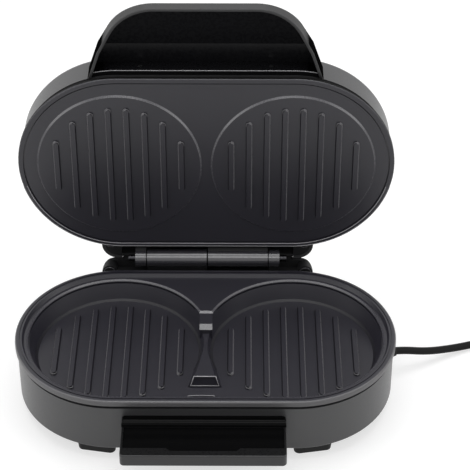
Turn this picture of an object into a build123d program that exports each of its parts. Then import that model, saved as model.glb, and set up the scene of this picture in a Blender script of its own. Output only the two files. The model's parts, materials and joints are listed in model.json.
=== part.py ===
from build123d import *
import math
import os

# A two-pan breakfast sandwich maker with its lid open. Millimetres, +Z up, +X to the right and
# +Y to the back. The ground is Z = 0. The lid is modelled where it stands when it is fully open.

# ---------------------------------------------------------------------------------- cooking plates
pan_floor_radius = 57.5
pan_gap = 7.5  # between the two pans' floors, where they come nearest
pan_depth = 14.8  # from the plate's flat field down to the pan floor
pan_draft = 19.3  # degrees, lean of the pan walls
pan_corner = 1.2  # bevel between a pan's floor and its wall
pan_edge = 0.9  # bevel along a pan's upper edge
pan_border = 8.72  # from the pans' upper edges to the plates' outline
plate_skirt = 4.2  # height of the lower plate's side
plate_thickness = 2.6
plate_edge_round = 1.4
lip_width = 4.8
lip_rise = 2.65  # the lip above the flat field
lip_draft = 26.0  # degrees, lean of the lip's inner side
lip_groove_place = 2.9  # the fine groove in the lip, from the plate's outline
lip_groove = 0.7  # its width, and its depth
ridge_drop = 10.3  # the ridge between the pans, below the lip
ridge_front = 34.2  # front end of the ridge's top, in front of the pan centres
ridge_foot = 36.7  # where its front slope reaches the floor
ridge_waist = 8.0  # half width of the ridge's foot beside its straight front part
ridge_flare = 11.6  # half width of the ridge's foot at its front end
ridge_flare_start = 19.5
ridge_draft = 29.0  # degrees, lean of the ridge's sides in front
ridge_frame = 1.0  # width of the raised frame on the ridge's front slope
ridge_frame_rise = 0.5
saddle_drop = 4.0  # the saddle at the back of the ridge, below the lip
saddle_half = 4.5
saddle_front = 14.6
saddle_back = 26.2
saddle_step = 3.0  # the saddle's front slope goes down and forward by this much
drain_width = 20.0
drain_length = 12.0
drain_depth = 0.8
drain_centre = 52.6  # in front of the pan centres
rib_count = 8  # in each pan, and on each raised disc of the lid's plate
rib_pitch = 12.5
rib_width = 4.6
rib_height = 2.2
rib_draft = 20.0
rib_margin = 7.0  # the ribs end this far inside the pan floor's edge
upper_skirt = 2.6  # height of the upper plate's side
upper_edge_round = 0.9
upper_rim_width = 3.4
upper_field_drop = 0.6
upper_groove_width = 0.9
upper_groove_depth = 1.5
upper_disc_margin = 3.05  # from a raised disc to the middle between the two
upper_disc_rise = 1.2
upper_rib_height = 1.8
upper_rib_margin = 9.6  # the ribs end this far inside the disc's edge

# ---------------------------------------------------------------------------------- housings
ground_clearance = 10.0
base_inset = 1.4  # the base's wall stands this far inside the plate's outline
base_wall_height = 36.6
shadow_gap = 3.2  # the dark line between the lower plate's side and the wall below it
wall = 2.2
seat_ring = 2.2  # width of the inner step that carries the lower plate
seat_ring_height = 8.4
weld = 0.1  # how far joined features of one piece run into each other
base_edge_round = 1.5
ledge_width = 7.8  # the inner ledge on which the base's cover rests
ledge_thickness = 2.0
lid_inset = 1.6  # the lid's wall stands this far inside the plate's outline
lid_shadow_gap = 5.2
lid_wall = 2.4
lid_shell_height = 26.2
lid_edge_round = 5.0
frame_thickness = 2.4  # the inner frame that carries the upper plate and the lid's barrels
frame_width = 6.3
closed_gap = 0.5  # between the two plates' rims when the lid is shut
deck_drop = 10.0  # the base's hinge deck, below the lip
hinge_half_width = 77.5
hinge_corner = 12.0
base_tail_back = 7.9  # back of the base's hinge block, behind the hinge axis
lid_tail_back = 4.9  # back of the lid's hinge hood, behind the hinge axis

# ---------------------------------------------------------------------------------- hinge
hinge_offset = 11.7  # hinge axis behind the plates' outline
hinge_rise = 1.9  # hinge axis above the lip
barrel_radius = 6.4
axle_radius = 2.5
axle_length = 116.0
axle_clearance = 0.05
barrel_gap = 0.5  # from the middle to each of the two long barrels
barrel_length = 43.6
tab_gap = 0.8
tab_length = 7.8
hood_half_width = 63.0  # half the opening between the lid's two ears
hood_lift = 10.0  # the hood's back wall starts this far behind the upper plate's rim
arm_drop = 10.1  # the lid's barrels join the inner frame this far from the axis
pedestal_fore = 4.1  # the barrels' pedestals, in front of the axis and behind it
pedestal_aft = 5.9
hinge_wall_front = 4.4  # the wall behind the barrels starts this far behind the axis
hinge_crest_front = 5.6  # and the crest that closes the hood's lower edge starts here
hinge_crest_rise = 1.3
hinge_crest_clearance = 1.0
stop_radius = 5.5
stop_length = 11.0
stop_inset = 5.5  # the stops' distance from the hinge block's ends
stop_gap = 0.3  # between the lid's ears and the base's stops when the lid is open

# ---------------------------------------------------------------------------------- handles
lid_handle_front = 56.0  # half width where its sides would meet its front edge
lid_handle_length = 52.7  # beyond the lid's outline
lid_handle_tip_length = 34.5  # its sides bend this far before its tip
lid_handle_corner = 35.8
lid_handle_wall = 2.2
lid_handle_skin = 3.0
lid_handle_tip_skin = 2.2
lid_handle_flange = 3.5
lid_handle_seat = 8.0  # the flange's front, behind the upper plate's rim
lid_handle_overlap = 9.8  # its sides start inside the lid's outline, and are cut to it
lid_handle_root_half = 83.4
lid_handle_root_depth = 24.0
lid_handle_bend_half = 73.9
lid_handle_bend_depth = 22.7
lid_handle_tip_depth = 14.0
lid_handle_rim = 6.0
lid_handle_bevel = 0.4
base_handle_half = 55.2
base_handle_reach = 34.0  # in front of the base's wall
base_handle_drop = 18.0  # its top, below the lip
base_handle_lip = 9.3
base_handle_skin = 2.6
base_handle_flange = 2.2
base_handle_flange_rise = 4.5
base_handle_flange_low = 24.0
base_handle_root_round = 4.0
base_handle_corner = 3.0
base_handle_edge = 0.9  # rounding of its front edges
scoop_depth = 1.0
scoop_margin = 1.6
scoop_back = 6.5  # back edge of the scoop in the grip's top, in front of the base's wall
scoop_front = 26.5
thumb_half = 22.0
thumb_reach = 2.6

# ---------------------------------------------------------------------------------- fasteners and fits
screw_radius = 1.5
screw_head_radius = 3.0
screw_head_height = 2.0
screw_pilot_clearance = 0.05
cover_clearance = 0.3
seat_clearance = 0.2
seat_gap = 0.1  # between the lid and its grip
shield_screw_length = 6.0
plate_screw_length = 9.0
screw_tip_gap = 1.0  # left free beyond a screw's end
ear_screw_length = 12.0
grip_boss_length = 9.0
boss_radius = 4.5
boss_spread = 22.0  # the plate bosses stand this far before and behind the pan centres
lug_half = 18.0  # the lugs that hold the plates down
lug_reach = 22.0  # the base's lug, inside its wall
frame_lug_reach = 18.9  # the frame's lugs, inside the plate's outline
lug_thickness = 2.4
lug_screw_half = 11.0
lug_screw_inset = 14.4
lug_boss_radius = 4.0
cover_boss_inset = 6.5  # the cover's bosses, inside the base's wall
cover_boss_top = 30.0
cover_screw_length = 12.0
ear_screw_inset = 6.5  # the ear screws, from the hinge block's ends
ear_screw_back = 3.1  # and behind the plates' outline
ear_cup_radius = 3.75
ear_recess_radius = 3.2
ear_recess = 4.0
ear_cup_floor = 2.2
grip_screw_half = 38.0
grip_screw_rise = 29.5
lid_grip_screw_half = 45.0
lid_grip_screw_depth = 14.0
vent_length = 44.0
vent_width = 3.0
vent_pitch = 8.0
vent_count = 5
foot_inner = 60.0
foot_outer = 88.0
foot_length = 20.0
foot_margin = 4.0  # from a foot's outer edge to the base's wall
foot_skew = 5.0  # a foot's outer edge runs askew by this much
foot_corner = 5.0
foot_draft = 7.0

# ---------------------------------------------------------------------------------- heating and wiring
element_radius = 3.25
element_margin = 19.5  # the heating loop, inside the pan floor's edge
element_terminal_gap = 24.0
element_pin = 11.0
pin_radius = 1.5
shield_thickness = 0.8
shield_margin = 7.5  # the heat shields' edge, inside the pan floor's edge
shield_rim = 4.0
shield_stand = 0.25  # between the heating loop and the shield
thermostat_radius = 8.0
thermostat_height = 9.0
thermostat_cap = 3.0
tab_blade_width = 6.3
tab_blade_thickness = 0.8
tab_blade_length = 8.0
fuse_radius = 2.4
fuse_length = 22.0
clip_thickness = 1.0
clip_width = 8.0
clip_foot = 5.0
terminal_inset = 43.0  # the terminal block's inner face, inside the base's wall
terminal_depth = 18.0
terminal_width = 22.0
terminal_height = 10.0
lead_radius = 1.1
lead_spread = 1.25
lead_reach_out = 1.8  # the leads end inside the cord, beyond the base's wall
lens_radius = 4.5
lens_flange = 6.0
lens_flange_thickness = 1.2
lens_spacing = 26.0
lens_place = 50.0  # in front of the pan centres
lens_dome = 1.4
lamp_radius = 2.6
lamp_length = 12.0

# ---------------------------------------------------------------------------------- mains cord
cord_diameter = 5.5
cord_bend_share = 0.45
gland_angle = 17.0  # degrees round the base's right end, from its tip towards the back
gland_height = 19.0
bushing_inset = 14.0  # the bushing's inner end, inside the base's wall
bushing_reach = 7.5  # its outer end, beyond the wall
bushing_radius = 5.0
bushing_bore = 3.1
bushing_tip_radius = 3.9
bushing_flange_radius = 6.5
bushing_flange_thickness = 2.3
gland_clearance = 0.15
gland_seat_clearance = 0.5
cord_points = [
    (133.0, 21.9, 19.0),
    (141.0, 24.3, 18.0),
    (160.0, 31.6, 10.4),
    (181.0, 42.8, 4.6),
    (201.0, 52.2, 2.8),
    (224.0, 55.4, 2.8),
]
coil_turn_radius = 30.0
coil_layers = 2
coil_centre_x = 243.0
coil_centre_back = 88.0
cord_floor_gap = 0.05
plug_body_length = 20.0
plug_tail_length = 14.0
plug_width = 24.0
plug_height = 16.0
plug_tail_radius = 4.0
plug_lead = 14.0  # the plug's tail starts this far before the coil's widest point
blade_spacing = 12.7
blade_width = 6.3
blade_thickness = 1.5
blade_length = 17.0

# ---------------------------------------------------------------------------------- derived places
pan_spacing = 2 * pan_floor_radius + pan_gap
half_spacing = pan_spacing / 2
pan_lean = math.tan(math.radians(pan_draft))
pan_top_radius = pan_floor_radius + pan_depth * pan_lean
plate_radius = pan_top_radius + pan_border
rib_reach = pan_floor_radius - rib_margin
upper_disc_radius = half_spacing - upper_disc_margin
upper_rib_reach = upper_disc_radius - upper_rib_margin
base_radius = plate_radius - base_inset
lid_radius = plate_radius - lid_inset
hinge_back = plate_radius + hinge_offset
base_tail = hinge_back + base_tail_back
lid_tail = hinge_back + lid_tail_back
stop_place = hinge_half_width - stop_inset
lid_handle_root = lid_radius - lid_handle_overlap
lid_handle_reach = lid_radius + lid_handle_length
lid_handle_bend = lid_handle_reach - lid_handle_tip_length
lug_screw_back = plate_radius - lug_screw_inset
element_lane = pan_floor_radius - element_margin
shield_radius = pan_floor_radius - shield_margin
terminal_near = base_radius - terminal_inset
cover_top = ground_clearance + wall
wall_top = ground_clearance + base_wall_height
plate_under = wall_top + shadow_gap
lip_z = plate_under + plate_skirt
field_z = lip_z - lip_rise
floor_z = field_z - pan_depth
pan_under = floor_z - plate_thickness
ridge_z = lip_z - ridge_drop
saddle_z = lip_z - saddle_drop
deck_z = lip_z - deck_drop
axis_z = lip_z + hinge_rise
shell_front = upper_skirt + lid_shadow_gap
lid_depth = shell_front + lid_shell_height
rim_below_axis = hinge_rise - closed_gap
handle_front_y = base_radius + base_handle_reach
lid_back_y = hinge_back - rim_below_axis + lid_depth
pan_y = (handle_front_y - lid_back_y) / 2
axis_y = pan_y + hinge_back
lid_face_y = axis_y - rim_below_axis
lid_centre_z = axis_z + hinge_back
stop_z = lid_centre_z - lid_tail - stop_gap
boss_places = [(sx * half_spacing, sy * boss_spread) for sx in (-1, 1) for sy in (-1, 1)]
lug_places = [(-lug_screw_half, lug_screw_back), (lug_screw_half, lug_screw_back)]
lug_top = plate_under - 8.0
element_z = pan_under - seat_clearance - element_radius
shield_z = element_z - element_radius - shield_stand - shield_thickness
boss_low = shield_z + shield_thickness
element_depth = upper_skirt + seat_clearance + element_radius
shield_depth = element_depth + element_radius + shield_stand + shield_thickness
gland_turn = math.radians(gland_angle)
gland_axis = (math.cos(gland_turn), math.sin(gland_turn), 0)
cover_boss_turn = math.radians(45)
cover_boss_ring = base_radius - cover_boss_inset
cover_boss_x = half_spacing + cover_boss_ring * math.cos(cover_boss_turn)
cover_boss_y = cover_boss_ring * math.sin(cover_boss_turn)
cover_boss_places = [(sx * cover_boss_x, sy * cover_boss_y) for sx in (-1, 1) for sy in (-1, 1)]
coil_top = cord_floor_gap + coil_layers * cord_diameter
frame_lug_places = [(0, -lug_screw_back), (0, lug_screw_back)]
ear_places = [
    (side * (hinge_half_width - ear_screw_inset), -plate_radius - ear_screw_back) for side in (-1, 1)
]
ear_cup_depth = shell_front + ear_recess + ear_cup_floor
lens_places = [(-lens_spacing / 2, lens_place), (lens_spacing / 2, lens_place)]
lid_grip_places = [(side * lid_grip_screw_half, lid_grip_screw_depth) for side in (-1, 1)]
lead_reach = base_radius + lead_reach_out - terminal_near - terminal_depth
lid_grip_wall = Plane(
    origin=(0, lid_face_y, lid_centre_z + lid_radius), x_dir=(1, 0, 0), z_dir=(0, 0, 1)
)


def base_plane(height):
    """A level plane at this height, with its origin between the pans."""
    return Plane(origin=(0, pan_y, height))


def base_section(x):
    """An upright plane across X, drawn in (distance behind the pan centres, height)."""
    return Plane(origin=(x, pan_y, 0), x_dir=(0, 1, 0), z_dir=(1, 0, 0))


def lid_plane(depth):
    """A plane parallel to the open lid's face, this far behind its rim, drawn in (X, up)."""
    return Plane(origin=(0, lid_face_y + depth, lid_centre_z), x_dir=(1, 0, 0), z_dir=(0, -1, 0))


def lid_section(x):
    """An upright plane across X, drawn in (distance up the lid, depth behind its rim)."""
    return Plane(origin=(x, lid_face_y, lid_centre_z), x_dir=(0, 0, 1), z_dir=(-1, 0, 0))


def oval(radius, mode=Mode.ADD):
    """The plates' outline: two half circles joined by straight sides."""
    SlotCenterToCenter(pan_spacing, 2 * radius, mode=mode)


def oval_with_tail(radius, tail, inset=0, way=1):
    """A housing's outline: the oval with the hinge block on its far side, drawn this far inside."""
    oval(radius - inset)
    length = tail - inset
    with Locations((0, way * length / 2)):
        RectangleRounded(2 * (hinge_half_width - inset), length, hinge_corner - inset)


def rib_slots(reach):
    """Eight slots in each pan's circle, all ending on one circle."""
    for side in (-1, 1):
        for number in range(rib_count):
            place = (number - (rib_count - 1) / 2) * rib_pitch
            length = 2 * math.sqrt(reach**2 - place**2)
            with Locations((side * half_spacing + place, 0)):
                SlotOverall(length, rib_width, rotation=90)


def screws(places, shank):
    """Pan-head screws: each head stands on its plane, and its shank goes down from it."""
    with BuildPart() as screw_set:
        for place in places:
            with BuildSketch(place):
                Circle(screw_head_radius)
            extrude(amount=screw_head_height)
            with BuildSketch(place):
                Circle(screw_radius)
            extrude(amount=-shank)
            with BuildSketch(place.offset(screw_head_height)):
                Rectangle(3.2, 0.7)
                Rectangle(0.7, 3.2)
            extrude(amount=-0.9, mode=Mode.SUBTRACT)
    return screw_set


def heating_loop(level, way, pin):
    """A sheathed loop in this plane, open on one side, with two cold pins going down from it."""
    start = element_terminal_gap / 2
    lane = way * element_lane
    turn = half_spacing + element_lane
    with BuildPart() as loop:
        with BuildLine(level) as route:
            Line((start, lane), (half_spacing, lane))
            ThreePointArc((half_spacing, lane), (turn, 0), (half_spacing, -lane))
            Line((half_spacing, -lane), (-half_spacing, -lane))
            ThreePointArc((-half_spacing, -lane), (-turn, 0), (-half_spacing, lane))
            Line((-half_spacing, lane), (-start, lane))
        with BuildSketch(Plane(origin=route.wire() @ 0, x_dir=level.z_dir, z_dir=route.wire() % 0)):
            Circle(element_radius)
        sweep()
        with BuildSketch(level):
            with Locations((start + pin_radius, lane), (-start - pin_radius, lane)):
                Circle(pin_radius)
        extrude(amount=-pin)
    return loop


def heat_shield(level, way):
    """A sheet dish on the plate's bosses; its plane is the sheet's outer face."""
    with BuildPart() as shield:
        with BuildSketch(level):
            oval(shield_radius)
            with Locations(*boss_places):
                Circle(screw_radius + screw_pilot_clearance, mode=Mode.SUBTRACT)
            for side in (-1, 1):
                with Locations((side * (element_terminal_gap / 2 + pin_radius), way * element_lane)):
                    Circle(pin_radius + 1.5, mode=Mode.SUBTRACT)
        extrude(amount=shield_thickness)
        with BuildSketch(level):
            oval(shield_radius)
            oval(shield_radius - shield_thickness, mode=Mode.SUBTRACT)
        extrude(amount=shield_rim)
    return shield


def write(piece, name):
    """Labels a finished piece and writes it to its own file."""
    piece.part.label = name
    export_step(piece.part, f"parts/{name}.step")


os.makedirs("parts", exist_ok=True)

# ================================================================================== lower plate
with BuildPart() as lower_plate:
    with BuildSketch(base_plane(plate_under)):
        oval(plate_radius)
    extrude(amount=plate_skirt)
    fillet(lower_plate.edges().group_by(Axis.Z)[-1], radius=plate_edge_round)
    with BuildSketch(base_plane(lip_z)):
        oval(plate_radius - lip_groove_place)
        oval(plate_radius - lip_groove_place - lip_groove, mode=Mode.SUBTRACT)
    extrude(amount=-lip_groove, mode=Mode.SUBTRACT)
    with BuildSketch(base_plane(field_z)):
        oval(plate_radius - lip_width - lip_rise * math.tan(math.radians(lip_draft)))
    extrude(amount=lip_rise, taper=-lip_draft, mode=Mode.SUBTRACT)
    # the pans' outer bodies and the joined part in front of the ridge
    outer_drop = field_z - pan_under
    outer_lean = outer_drop * pan_lean
    outer_foot = pan_top_radius + plate_thickness - outer_lean
    with Locations(*[Pos(side * half_spacing, pan_y, pan_under) for side in (-1, 1)]):
        Cone(
            outer_foot,
            outer_foot + outer_lean - pan_edge,
            outer_drop - pan_edge / pan_lean,
            align=(Align.CENTER, Align.CENTER, Align.MIN),
        )
    with BuildSketch(base_section(-half_spacing)):
        with BuildLine():
            Polyline(
                (-outer_foot - outer_lean, field_z),
                (-outer_foot, pan_under),
                (saddle_back, pan_under),
                (saddle_back + outer_lean, field_z),
                close=True,
            )
        make_face()
    extrude(amount=pan_spacing)
    # the pans' hollows
    for side in (-1, 1):
        with BuildSketch(Plane(origin=(side * half_spacing, pan_y, 0), x_dir=(1, 0, 0), z_dir=(0, -1, 0))):
            with BuildLine():
                Polyline(
                    (0, floor_z),
                    (pan_floor_radius - pan_corner, floor_z),
                    (pan_floor_radius + pan_corner * pan_lean, floor_z + pan_corner),
                    (pan_top_radius - pan_edge * pan_lean, field_z - pan_edge),
                    (pan_top_radius + pan_edge, field_z),
                    (pan_top_radius + pan_edge, lip_z),
                    (0, lip_z),
                    close=True,
                )
            make_face()
        revolve(axis=Axis((side * half_spacing, pan_y, 0), (0, 0, 1)), mode=Mode.SUBTRACT)
    # the ridge's slopes and the floor in front of it
    with BuildSketch(base_section(-half_spacing)):
        with BuildLine():
            Polyline(
                (-pan_top_radius - pan_edge, field_z),
                (-pan_top_radius + pan_edge * pan_lean, field_z - pan_edge),
                (-pan_floor_radius - pan_corner * pan_lean, floor_z + pan_corner),
                (-pan_floor_radius + pan_corner, floor_z),
                (-ridge_foot, floor_z),
                (-ridge_front, ridge_z),
                (saddle_front - saddle_step, ridge_z),
                (saddle_front - saddle_step, saddle_z - saddle_step),
                (saddle_front, saddle_z),
                (saddle_back, saddle_z),
                (saddle_back + field_z - saddle_z, field_z),
                (saddle_back + field_z - saddle_z, lip_z),
                (-pan_top_radius - pan_edge, lip_z),
                close=True,
            )
        make_face()
    extrude(amount=pan_spacing, mode=Mode.SUBTRACT)
    with BuildSketch(base_plane(floor_z)):
        for side in (-1, 1):
            with BuildLine():
                Polyline(
                    (side * ridge_waist, -ridge_flare_start),
                    (side * ridge_flare, -ridge_foot),
                    (side * ridge_flare * 2.5, -ridge_foot),
                    (side * ridge_flare * 2.5, -ridge_flare_start),
                    close=True,
                )
            make_face()
    extrude(amount=ridge_z - floor_z, taper=-ridge_draft, mode=Mode.SUBTRACT)
    # the saddle at the ridge's back, which stands proud of both pans' walls
    with BuildSketch(base_section(-saddle_half)):
        with BuildLine():
            Polyline(
                (saddle_front - saddle_step, floor_z - weld),
                (saddle_front - saddle_step, saddle_z - saddle_step),
                (saddle_front, saddle_z),
                (saddle_back, saddle_z),
                (saddle_back + field_z - saddle_z, field_z),
                (saddle_back + field_z - saddle_z, floor_z - weld),
                close=True,
            )
        make_face()
    extrude(amount=2 * saddle_half)
    # the raised frame on the ridge's front slope
    slope_run = ridge_foot - ridge_front
    slope_rise = ridge_z - floor_z
    slope_length = math.hypot(slope_run, slope_rise)
    slope_plane = Plane(
        origin=(0, pan_y - ridge_foot, floor_z),
        x_dir=(1, 0, 0),
        z_dir=(0, -slope_rise, slope_run),
    )
    slope_top_half = ridge_flare - slope_rise * math.tan(math.radians(ridge_draft))
    with BuildSketch(slope_plane):
        Polygon(
            (-ridge_flare, 0),
            (ridge_flare, 0),
            (slope_top_half, slope_length),
            (-slope_top_half, slope_length),
            align=None,
        )
        offset(amount=-ridge_frame, mode=Mode.SUBTRACT)
    extrude(amount=ridge_frame_rise)
    with BuildSketch(base_plane(floor_z)):
        with Locations((0, -drain_centre)):
            RectangleRounded(drain_width, drain_length, 3)
    extrude(amount=-drain_depth, mode=Mode.SUBTRACT)
    with BuildSketch(base_plane(floor_z)):
        rib_slots(rib_reach)
    extrude(amount=rib_height, taper=rib_draft)
    # bosses below for the heat shield and for the rear lugs
    with BuildSketch(base_plane(boss_low)):
        with Locations(*boss_places):
            Circle(boss_radius)
    extrude(amount=pan_under + weld - boss_low)
    with BuildSketch(base_plane(lug_top)):
        with Locations(*lug_places):
            Circle(lug_boss_radius)
    extrude(amount=plate_under + weld - lug_top)
    with BuildSketch(base_plane(boss_low)):
        with Locations(*boss_places):
            Circle(screw_radius + screw_pilot_clearance)
    extrude(amount=pan_under - boss_low, mode=Mode.SUBTRACT)
    with BuildSketch(base_plane(lug_top)):
        with Locations(*lug_places):
            Circle(screw_radius + screw_pilot_clearance)
    extrude(amount=plate_under - lug_top, mode=Mode.SUBTRACT)
write(lower_plate, "lower_plate")

# ================================================================================== base housing
with BuildPart() as stops:
    for side in (-1, 1):
        stop_plane = Plane(
            origin=(side * stop_place, pan_y + base_tail, 0), x_dir=(1, 0, 0), z_dir=(0, -1, 0)
        )
        spring_z = stop_z - stop_radius
        with BuildSketch(stop_plane):
            with BuildLine():
                Polyline(
                    (-stop_radius, spring_z),
                    (-stop_radius, deck_z - weld),
                    (stop_radius, deck_z - weld),
                    (stop_radius, spring_z),
                )
                ThreePointArc((-stop_radius, spring_z), (0, stop_z), (stop_radius, spring_z))
            make_face()
        extrude(amount=stop_length)
    with BuildSketch(base_plane(deck_z - weld)):
        with Locations((0, (hinge_back + hinge_wall_front + base_tail) / 2)):
            Rectangle(2 * stop_place, base_tail_back - hinge_wall_front)
    extrude(amount=stop_z - deck_z + weld)
    with BuildSketch(base_plane(deck_z)):
        with Locations((0, (hinge_back + hinge_crest_front + base_tail) / 2)):
            Rectangle(2 * (hood_half_width - hinge_crest_clearance), base_tail_back - hinge_crest_front)
    extrude(amount=stop_z + hinge_crest_rise - deck_z)
    with BuildSketch(base_plane(deck_z - weld)):
        oval_with_tail(base_radius, base_tail)
    extrude(amount=stop_z - deck_z + hinge_crest_rise + weld, mode=Mode.INTERSECT)

with BuildPart() as base_housing:
    with BuildSketch(base_plane(ground_clearance)):
        oval_with_tail(base_radius, base_tail)
    extrude(amount=deck_z - ground_clearance)
    with BuildSketch(base_plane(ground_clearance)):
        oval(base_radius)
    extrude(amount=base_wall_height)
    fillet(base_housing.edges().group_by(Axis.Z)[0], radius=base_edge_round)
    with BuildSketch(base_plane(ground_clearance)):
        oval(base_radius - wall)
    extrude(amount=base_wall_height, mode=Mode.SUBTRACT)
    with BuildSketch(base_plane(ground_clearance)):
        oval_with_tail(base_radius, base_tail, wall)
    extrude(amount=deck_z - wall - ground_clearance, mode=Mode.SUBTRACT)
    # the step that carries the plate, and the ledge for the cover
    with BuildSketch(base_plane(plate_under)):
        oval(base_radius - wall + weld)
        oval(base_radius - wall - seat_ring, mode=Mode.SUBTRACT)
    extrude(amount=-seat_ring_height)
    with BuildSketch(base_plane(cover_top)):
        oval(base_radius - wall + weld)
        oval(base_radius - wall - ledge_width, mode=Mode.SUBTRACT)
    extrude(amount=ledge_thickness)
    # rear lug for the plate's screws
    with BuildSketch(base_plane(lug_top)):
        with Locations((0, base_radius - (wall + lug_reach) / 2)):
            Rectangle(2 * lug_half, lug_reach - wall)
        with Locations(*lug_places):
            Circle(screw_radius + screw_pilot_clearance, mode=Mode.SUBTRACT)
    extrude(amount=-lug_thickness)
    # bosses for the cover's screws
    with BuildSketch(base_plane(cover_top)):
        with Locations(*cover_boss_places):
            Circle(boss_radius)
    extrude(amount=cover_boss_top - cover_top)
    with BuildSketch(base_plane(cover_top)):
        with Locations(*cover_boss_places):
            Circle(screw_radius + screw_pilot_clearance)
    extrude(amount=cover_screw_length, mode=Mode.SUBTRACT)
    # hinge barrels on their pedestals
    for start, length in (
        (-barrel_gap - barrel_length, barrel_length),
        (barrel_gap + barrel_length + tab_gap, tab_length),
    ):
        with BuildSketch(base_section(start)):
            with BuildLine():
                Polyline(
                    (hinge_back - pedestal_fore, deck_z - weld),
                    (hinge_back - pedestal_fore, axis_z),
                    (hinge_back + pedestal_aft, axis_z),
                    (hinge_back + pedestal_aft, deck_z - weld),
                    close=True,
                )
            make_face()
            with Locations((hinge_back, axis_z)):
                Circle(barrel_radius)
                Circle(axle_radius + axle_clearance, mode=Mode.SUBTRACT)
        extrude(amount=length)
    add(stops.part)
    # holes for the cord's bushing and for the grip's screws
    gland_hole = Plane(
        origin=(half_spacing, pan_y, gland_height),
        x_dir=(-gland_axis[1], gland_axis[0], 0),
        z_dir=gland_axis,
    )
    with BuildSketch(gland_hole.offset(base_radius - 2 * wall)):
        Circle(bushing_radius + gland_clearance)
    extrude(amount=3 * wall, mode=Mode.SUBTRACT)
    with BuildSketch(gland_hole.offset(base_radius - bushing_inset)):
        Circle(bushing_flange_radius + gland_seat_clearance)
    extrude(amount=bushing_inset - wall, mode=Mode.SUBTRACT)
    with BuildSketch(Plane(origin=(0, pan_y - base_radius, 0), x_dir=(1, 0, 0), z_dir=(0, -1, 0))):
        with Locations((-grip_screw_half, grip_screw_rise), (grip_screw_half, grip_screw_rise)):
            Circle(screw_radius + screw_pilot_clearance)
    extrude(amount=-wall, mode=Mode.SUBTRACT)
write(base_housing, "base_housing")

# ================================================================================== base cover, feet
with BuildPart() as base_cover:
    with BuildSketch(base_plane(ground_clearance)):
        oval_with_tail(base_radius, base_tail, wall + cover_clearance)
        with Locations(*cover_boss_places):
            Circle(screw_radius + screw_pilot_clearance, mode=Mode.SUBTRACT)
        with Locations((-half_spacing, 0), (half_spacing, 0)):
            with GridLocations(0, vent_pitch, 1, vent_count):
                SlotOverall(vent_length, vent_width, mode=Mode.SUBTRACT)
    extrude(amount=wall)
write(base_cover, "base_cover")

for way, end in ((-1, "front"), (1, "back")):
    for side, hand in ((-1, "left"), (1, "right")):
        with BuildPart() as foot:
            with BuildSketch(base_plane(ground_clearance)) as foot_plan:
                foot_edge = base_radius - foot_margin
                Polygon(
                    (side * foot_inner, way * (foot_edge - foot_length)),
                    (side * foot_inner, way * foot_edge),
                    (side * foot_outer, way * (foot_edge - foot_skew)),
                    (side * foot_outer, way * (foot_edge - foot_length)),
                    align=None,
                )
                fillet(foot_plan.vertices(), radius=foot_corner)
            extrude(amount=-ground_clearance, taper=foot_draft)
        write(foot, f"foot_{end}_{hand}")

# ================================================================================== base grip
with BuildPart() as base_handle:
    top_z = lip_z - base_handle_drop
    flange_top = top_z + base_handle_flange_rise
    root_end = base_radius + base_handle_flange + base_handle_root_round
    with BuildSketch(base_section(-base_handle_half)):
        with BuildLine():
            Polyline(
                (-base_radius - base_handle_flange, top_z + base_handle_root_round),
                (-base_radius - base_handle_flange, flange_top),
                (-base_radius, flange_top),
                (-base_radius, base_handle_flange_low),
                (-handle_front_y, top_z - base_handle_lip),
                (-handle_front_y, top_z),
                (-root_end, top_z),
            )
            RadiusArc(
                (-root_end, top_z),
                (-base_radius - base_handle_flange, top_z + base_handle_root_round),
                base_handle_root_round,
            )
        make_face()
    extrude(amount=2 * base_handle_half)
    corners = base_handle.edges().filter_by(Axis.Z).group_by(Axis.Y)[0]
    fillet(corners, radius=base_handle_corner)
    fillet(base_handle.edges().filter_by(Axis.X).group_by(Axis.Y)[0], radius=base_handle_edge)
    flange_corners = base_handle.edges().filter_by(Axis.Y).group_by(Axis.Z)[-1]
    fillet(flange_corners, radius=base_handle_corner)
    with BuildSketch(base_section(-base_handle_half + base_handle_skin)):
        with BuildLine():
            Polyline(
                (-base_radius - base_handle_flange, base_handle_flange_low - 5),
                (-base_radius - base_handle_flange, top_z - base_handle_skin),
                (-handle_front_y + base_handle_skin, top_z - base_handle_skin),
                (-handle_front_y + base_handle_skin, base_handle_flange_low - 5),
                close=True,
            )
        make_face()
    extrude(amount=2 * (base_handle_half - base_handle_skin), mode=Mode.SUBTRACT)
    # the shallow scoop in its top, drawn forward in the middle
    with BuildSketch(base_plane(top_z)):
        scoop_half = base_handle_half - scoop_margin
        scoop_y = -base_radius - scoop_front
        with BuildLine():
            Polyline(
                (-scoop_half, -base_radius - scoop_back),
                (-scoop_half, scoop_y),
                (-thumb_half - thumb_reach, scoop_y),
                (-thumb_half, scoop_y - thumb_reach),
                (thumb_half, scoop_y - thumb_reach),
                (thumb_half + thumb_reach, scoop_y),
                (scoop_half, scoop_y),
                (scoop_half, -base_radius - scoop_back),
                close=True,
            )
        make_face()
    extrude(amount=-scoop_depth, mode=Mode.SUBTRACT)
    # bosses for its two screws
    with BuildSketch(Plane(origin=(0, pan_y - base_radius, 0), x_dir=(1, 0, 0), z_dir=(0, -1, 0))):
        with Locations((-grip_screw_half, grip_screw_rise), (grip_screw_half, grip_screw_rise)):
            Circle(lug_boss_radius)
            Circle(screw_radius + screw_pilot_clearance, mode=Mode.SUBTRACT)
    extrude(amount=grip_boss_length)
    with BuildSketch(Plane(origin=(0, pan_y - base_radius, 0), x_dir=(1, 0, 0), z_dir=(0, -1, 0))):
        with Locations((-grip_screw_half, grip_screw_rise), (grip_screw_half, grip_screw_rise)):
            Circle(screw_radius + screw_pilot_clearance)
    extrude(amount=grip_boss_length, mode=Mode.SUBTRACT)
write(base_handle, "base_handle")

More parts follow.
